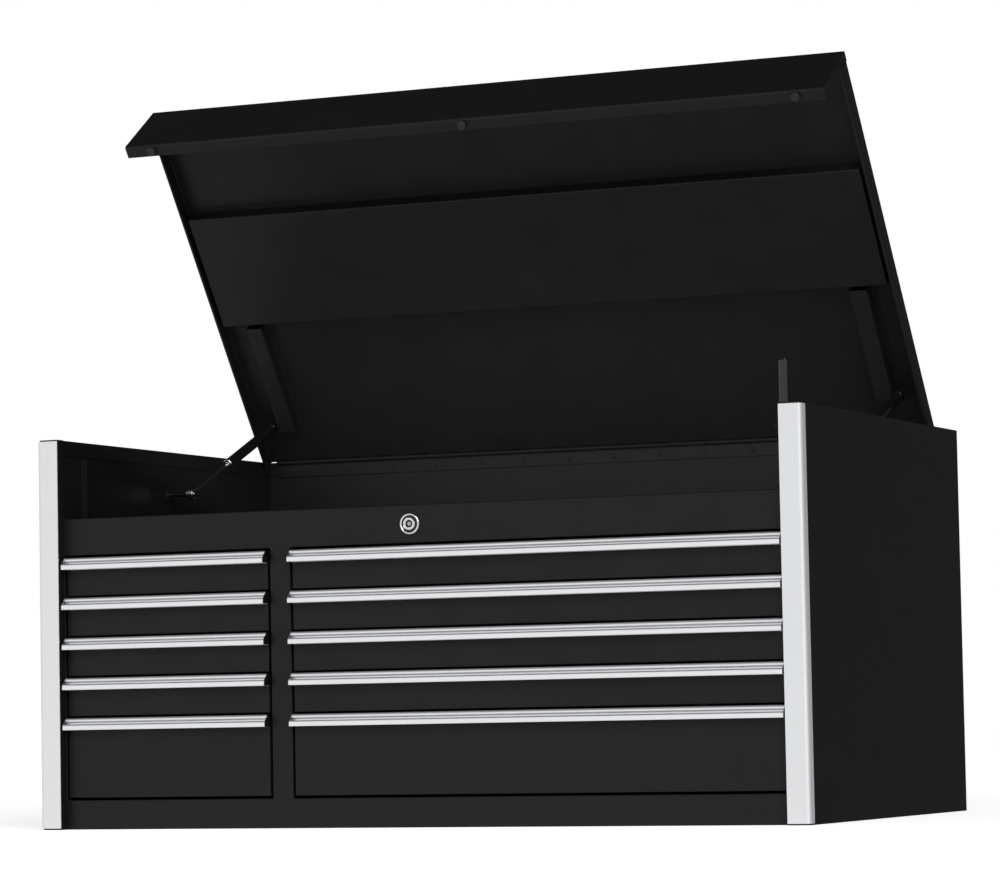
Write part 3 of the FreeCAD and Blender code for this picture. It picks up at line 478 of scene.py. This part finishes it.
class CHEST_OT_hinge(bpy.types.Operator):
    """Continuous hinge along the back, with its pin and round-headed screws"""

    bl_idname = "chest.hinge"
    bl_label = "Hinge"

    def execute(self, context):
        for node, body in (("hinge_chest_leaf", "root"), ("hinge_lid_leaf", "lid")):
            finished_copy(node, finish("powder"), body, mm(0.2))
        coat("hinge_pin", finish("zinc"))
        finished_copy("hinge_screws", finish("powder"), "root", mm(0.3))
        return {"FINISHED"}


ROD_SHOWN, EYE_HALF = mm(115), mm(5)             # rod outside the tube; half a strut eye
MOUTH_RING = [(0.6, 5.2), (0.6, 7.0), (0.2, 7.15), (-0.9, 7.15), (-1.4, 6.6), (-1.4, 5.2)]
ROD_SEAL = [(0.5, 2.3), (0.5, 4.2), (-2.2, 4.2), (-2.8, 3.4), (-2.8, 2.3)]
BALL_CAP = [(-0.4, 0), (-0.4, 3.4), (0.4, 3.4), (1.4, 2.9), (2.2, 1.8), (2.6, 0)]


class CHEST_OT_struts(bpy.types.Operator):
    """Gas struts, with bright rods, black tubes and moulded sockets"""

    bl_idname = "chest.struts"
    bl_label = "Gas Struts"

    def execute(self, context):
        for side in BANKS:
            finished_copy(f"{side}_strut_rod", finish("chrome"), f"{side}_rod", mm(0.6))
            finished_copy(f"{side}_strut_tube", finish("plastic"), f"{side}_tube", mm(1.0))
            pivot, stroke = (JOINTS[f"{side}_strut_{kind}"] for kind in ("pivot", "stroke"))
            start, run = Vector(pivot["pos_m"]), Vector(stroke["axis"])
            mouth = along(run, start + run * ROD_SHOWN)
            turned_piece(f"{side}_strut_mouth", [(MOUTH_RING, mouth), (ROD_SEAL, mouth)],
                         finish("chrome"), f"{side}_tube", ring=True)
            outward = Vector((math.copysign(1, start.x), 0, 0))
            ends = [(BALL_CAP, along(-outward, start - outward * EYE_HALF)),
                    (BALL_CAP, along(outward, start + outward * EYE_HALF))]
            turned_piece(f"{side}_chest_ball", ends, finish("chrome"), "root")
        finished_copy("strut_chest_studs", finish("plastic"), "root", mm(0.4))
        finished_copy("strut_lid_studs", finish("powder"), "lid", mm(0.3))
        return {"FINISHED"}


LOCK_BEZEL = [(-22, 9.0), (-22, 12.0), (0, 12.0), (0, 13.5), (1.2, 13.5), (2.3, 13.2), (3.0, 12.6),
              (3.2, 11.8), (3.0, 11.0), (2.4, 10.5), (0.0, 10.4), (0.0, 9.0)]
# Black ring in the gap between plug and bezel: painted shade, standing in for the shadow in that groove
LOCK_SHADE = [(0.05, 8.1), (0.05, 10.35), (1.1, 10.35), (1.1, 8.1)]
LOCK_PLUG = [(-28, 0), (-28, 4.0), (-22, 4.0), (-22, 8.9), (-0.2, 8.9), (-0.2, 8.0), (3.5, 8.0),
             (4.2, 7.3), (4.2, 5.0), (3.8, 4.6), (0.4, 4.6), (0.4, 0)]
# Black ring that fills the keyway's annular slot: painted shade, standing in for the dark inside of the
# slot
KEYWAY_PAINTED_SHADE = [(0.45, 2.6), (0.45, 4.5), (2.6, 4.5), (2.6, 2.6)]
KEYWAY_PIN = [(0.3, 0), (0.3, 2.5), (3.2, 2.5), (3.6, 2.1), (3.6, 0)]


class CHEST_OT_key_lock(bpy.types.Operator):
    """Round tubular key lock, with its bezel, plug and cam, and black rings of painted shade in its
    keyway and in the gap round its plug
    """

    bl_idname = "chest.key_lock"
    bl_label = "Key Lock"

    def execute(self, context):
        out = along((0, -1, 0), JOINTS["key_turn"]["pos_m"])
        bezel = turned_piece("lock_bezel", [(LOCK_BEZEL, out)], finish("chrome"), "root",
                             ring=True)
        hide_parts("lock_housing")
        plug = turned_piece("lock_plug", [(LOCK_PLUG, out)], finish("chrome"), "key_plug")
        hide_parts("lock_core")
        # The keyway's black ring is painted shade, a dark solid where the slot is only in shadow
        turned_piece("lock_keyway_painted_shade", [(KEYWAY_PAINTED_SHADE, out)], finish("rubber"), "key_plug",
                     ring=True)
        # The gap ring is painted shade, a black solid where the groove is only in shadow
        turned_piece("lock_shade", [(LOCK_SHADE, out)], finish("rubber"), "root", ring=True)
        turned_piece("lock_pin", [(KEYWAY_PIN, out)], finish("zinc"), "key_plug")
        coat("lock_cam", finish("zinc"))
        return {"FINISHED"}


class CHEST_OT_plunger(bpy.types.Operator):
    """Plunger that the closing lid pushes down"""

    bl_idname = "chest.plunger"
    bl_label = "Lock Plunger"

    def execute(self, context):
        finished_copy("lock_plunger", finish("plastic"), "plunger", mm(0.8))
        return {"FINISHED"}


# ---------------------------------------------------------------- stage


def studio_world():
    """A bright band low in front of the chest, a card on its left and a dim room above and behind."""
    world = bpy.data.worlds.new("studio")
    bpy.context.scene.world = world
    world.use_nodes = True
    tree = world.node_tree
    background = tree.nodes["Background"]
    direction = add_node(tree, "ShaderNodeTexCoord").outputs["Generated"]
    parts = add_node(tree, "ShaderNodeSeparateXYZ", {"Vector": direction})
    front = add_node(tree, "ShaderNodeMapRange", {"Value": parts.outputs["Y"], "From Min": 0.1,
                     "From Max": -0.7, "To Min": 0.07, "To Max": 0.95}, interpolation_type="SMOOTHSTEP")
    low = add_node(tree, "ShaderNodeMapRange", {"Value": parts.outputs["Z"], "From Min": 0.35,
                   "From Max": 0.75, "To Min": 1.0, "To Max": 0.15}, interpolation_type="SMOOTHSTEP")
    lit = add_node(tree, "ShaderNodeMath", operation="MULTIPLY")
    tree.links.new(front.outputs["Result"], lit.inputs[0])
    tree.links.new(low.outputs["Result"], lit.inputs[1])
    card = add_node(tree, "ShaderNodeMapRange", {"Value": parts.outputs["X"], "From Min": -0.7,
                    "From Max": -0.9, "To Min": 0.0, "To Max": 0.8}, interpolation_type="SMOOTHSTEP")
    both = add_node(tree, "ShaderNodeMath", operation="MAXIMUM")
    tree.links.new(lit.outputs["Value"], both.inputs[0])
    tree.links.new(card.outputs["Result"], both.inputs[1])
    seen = add_node(tree, "ShaderNodeLightPath").outputs["Is Camera Ray"]
    strength = add_node(tree, "ShaderNodeMix", {"Factor": seen, "A": both.outputs["Value"], "B": 1.0})
    tree.links.new(strength.outputs["Result"], background.inputs["Strength"])
    background.inputs["Color"].default_value = (1, 1, 1, 1)


def key_light(strength, softness):
    """A large soft light high behind the camera, so that shadows fall behind the chest."""
    data = bpy.data.lights.new("key light", "SUN")
    data.energy = strength
    data.angle = math.radians(softness)
    lamp = bpy.data.objects.new("key light", data)
    bpy.context.scene.collection.objects.link(lamp)
    lamp.rotation_euler = Vector((-0.45, 0.72, -0.53)).to_track_quat("-Z", "Y").to_euler()


def till_light(power):
    """A weak wide light inside the till, which lifts the underside of the open lid."""
    data = bpy.data.lights.new("till light", "AREA")
    data.energy, data.shape, data.size, data.size_y = power, "RECTANGLE", 0.9, 0.42
    lamp = bpy.data.objects.new("till light", data)
    bpy.context.scene.collection.objects.link(lamp)
    lamp.location = (0, 0.0, 0.44)
    lamp.rotation_euler = Vector((0, 0.25, 1)).to_track_quat("-Z", "Y").to_euler()
    lamp.visible_camera = lamp.visible_glossy = False


def camera():
    """Camera low in front of the chest's right half, turned left and slightly up."""
    yaw, pitch, roll = math.radians(-24.12), math.radians(3.93), math.radians(-1.06)
    data = bpy.data.cameras.new("camera")
    data.sensor_width, data.lens = 36, 144.25
    data.clip_end = 100
    eye = bpy.data.objects.new("camera", data)
    forward = Vector((math.sin(yaw) * math.cos(pitch), math.cos(yaw) * math.cos(pitch), math.sin(pitch)))
    right = Vector((math.cos(yaw), -math.sin(yaw), 0))
    up = right.cross(forward)
    turned_right = right * math.cos(roll) + up * math.sin(roll)
    turned_up = up * math.cos(roll) - right * math.sin(roll)
    turn = Matrix((turned_right, turned_up, -forward)).transposed().to_4x4()
    eye.matrix_world = Matrix.Translation((2.12099, -4.74732, 0.1329)) @ turn
    bpy.context.scene.collection.objects.link(eye)
    bpy.context.scene.camera = eye


class CHEST_OT_stage(bpy.types.Operator):
    """Pale floor, soft studio light and the camera"""

    bl_idname = "chest.stage"
    bl_label = "Stage"

    def execute(self, context):
        reach = 3.0
        bm = bmesh.new()
        bmesh.ops.create_grid(bm, x_segments=1, y_segments=1, size=reach)
        mesh_data = bpy.data.meshes.new("floor")
        bm.to_mesh(mesh_data)
        bm.free()
        floor = bpy.data.objects.new("floor", mesh_data)
        context.scene.collection.objects.link(floor)
        paint, tree, surface, place = new_material("pale studio floor")
        surface.inputs["Base Color"].default_value = (*context.scene.chest_colours.floor, 1)
        surface.inputs["Roughness"].default_value = 0.9
        surface.inputs["Specular IOR Level"].default_value = 0.1
        surface.inputs["Emission Color"].default_value = (1, 1, 1, 1)
        surface.inputs["Emission Strength"].default_value = 0.6
        mesh_data.materials.append(paint)
        floor.location.z = -mm(0.2)
        floor.visible_glossy = False
        studio_world()
        key_light(strength=1.7, softness=35)
        till_light(power=1.6)
        camera()
        context.scene.view_settings.view_transform = "Standard"
        return {"FINISHED"}


class CHEST_PT_panel(bpy.types.Panel):
    """Every piece of the chest, in the order it is built"""

    bl_idname = "CHEST_PT_panel"
    bl_label = "Tool Top Chest"
    bl_space_type = "VIEW_3D"
    bl_region_type = "UI"
    bl_category = "Top Chest"

    def draw(self, context):
        for group in (context.scene.chest_colours, context.scene.chest_sizes):
            for name in group.bl_rna.properties.keys():
                if name not in ("rna_type", "name"):
                    self.layout.prop(group, name)
        for operator in OPERATORS:
            self.layout.operator(operator.bl_idname)


OPERATORS = (CHEST_OT_case, CHEST_OT_trims, CHEST_OT_drawers, CHEST_OT_pulls, CHEST_OT_slides,
             CHEST_OT_lid, CHEST_OT_hinge, CHEST_OT_struts, CHEST_OT_key_lock, CHEST_OT_plunger,
             CHEST_OT_stage)
CLASSES = (ChestColours, ChestSizes) + OPERATORS + (CHEST_PT_panel,)


def register():
    for cls in CLASSES:
        bpy.utils.register_class(cls)
    bpy.types.Scene.chest_colours = bpy.props.PointerProperty(type=ChestColours)
    bpy.types.Scene.chest_sizes = bpy.props.PointerProperty(type=ChestSizes)


def unregister():
    del bpy.types.Scene.chest_sizes
    del bpy.types.Scene.chest_colours
    for cls in reversed(CLASSES):
        bpy.utils.unregister_class(cls)


def main():
    register()
    bpy.ops.chest.case()
    bpy.ops.chest.trims()
    bpy.ops.chest.drawers()
    bpy.ops.chest.pulls()
    bpy.ops.chest.slides()
    bpy.ops.chest.lid()
    bpy.ops.chest.hinge()
    bpy.ops.chest.struts()
    bpy.ops.chest.key_lock()
    bpy.ops.chest.plunger()
    bpy.ops.chest.stage()


if __name__ == "__main__":
    main()
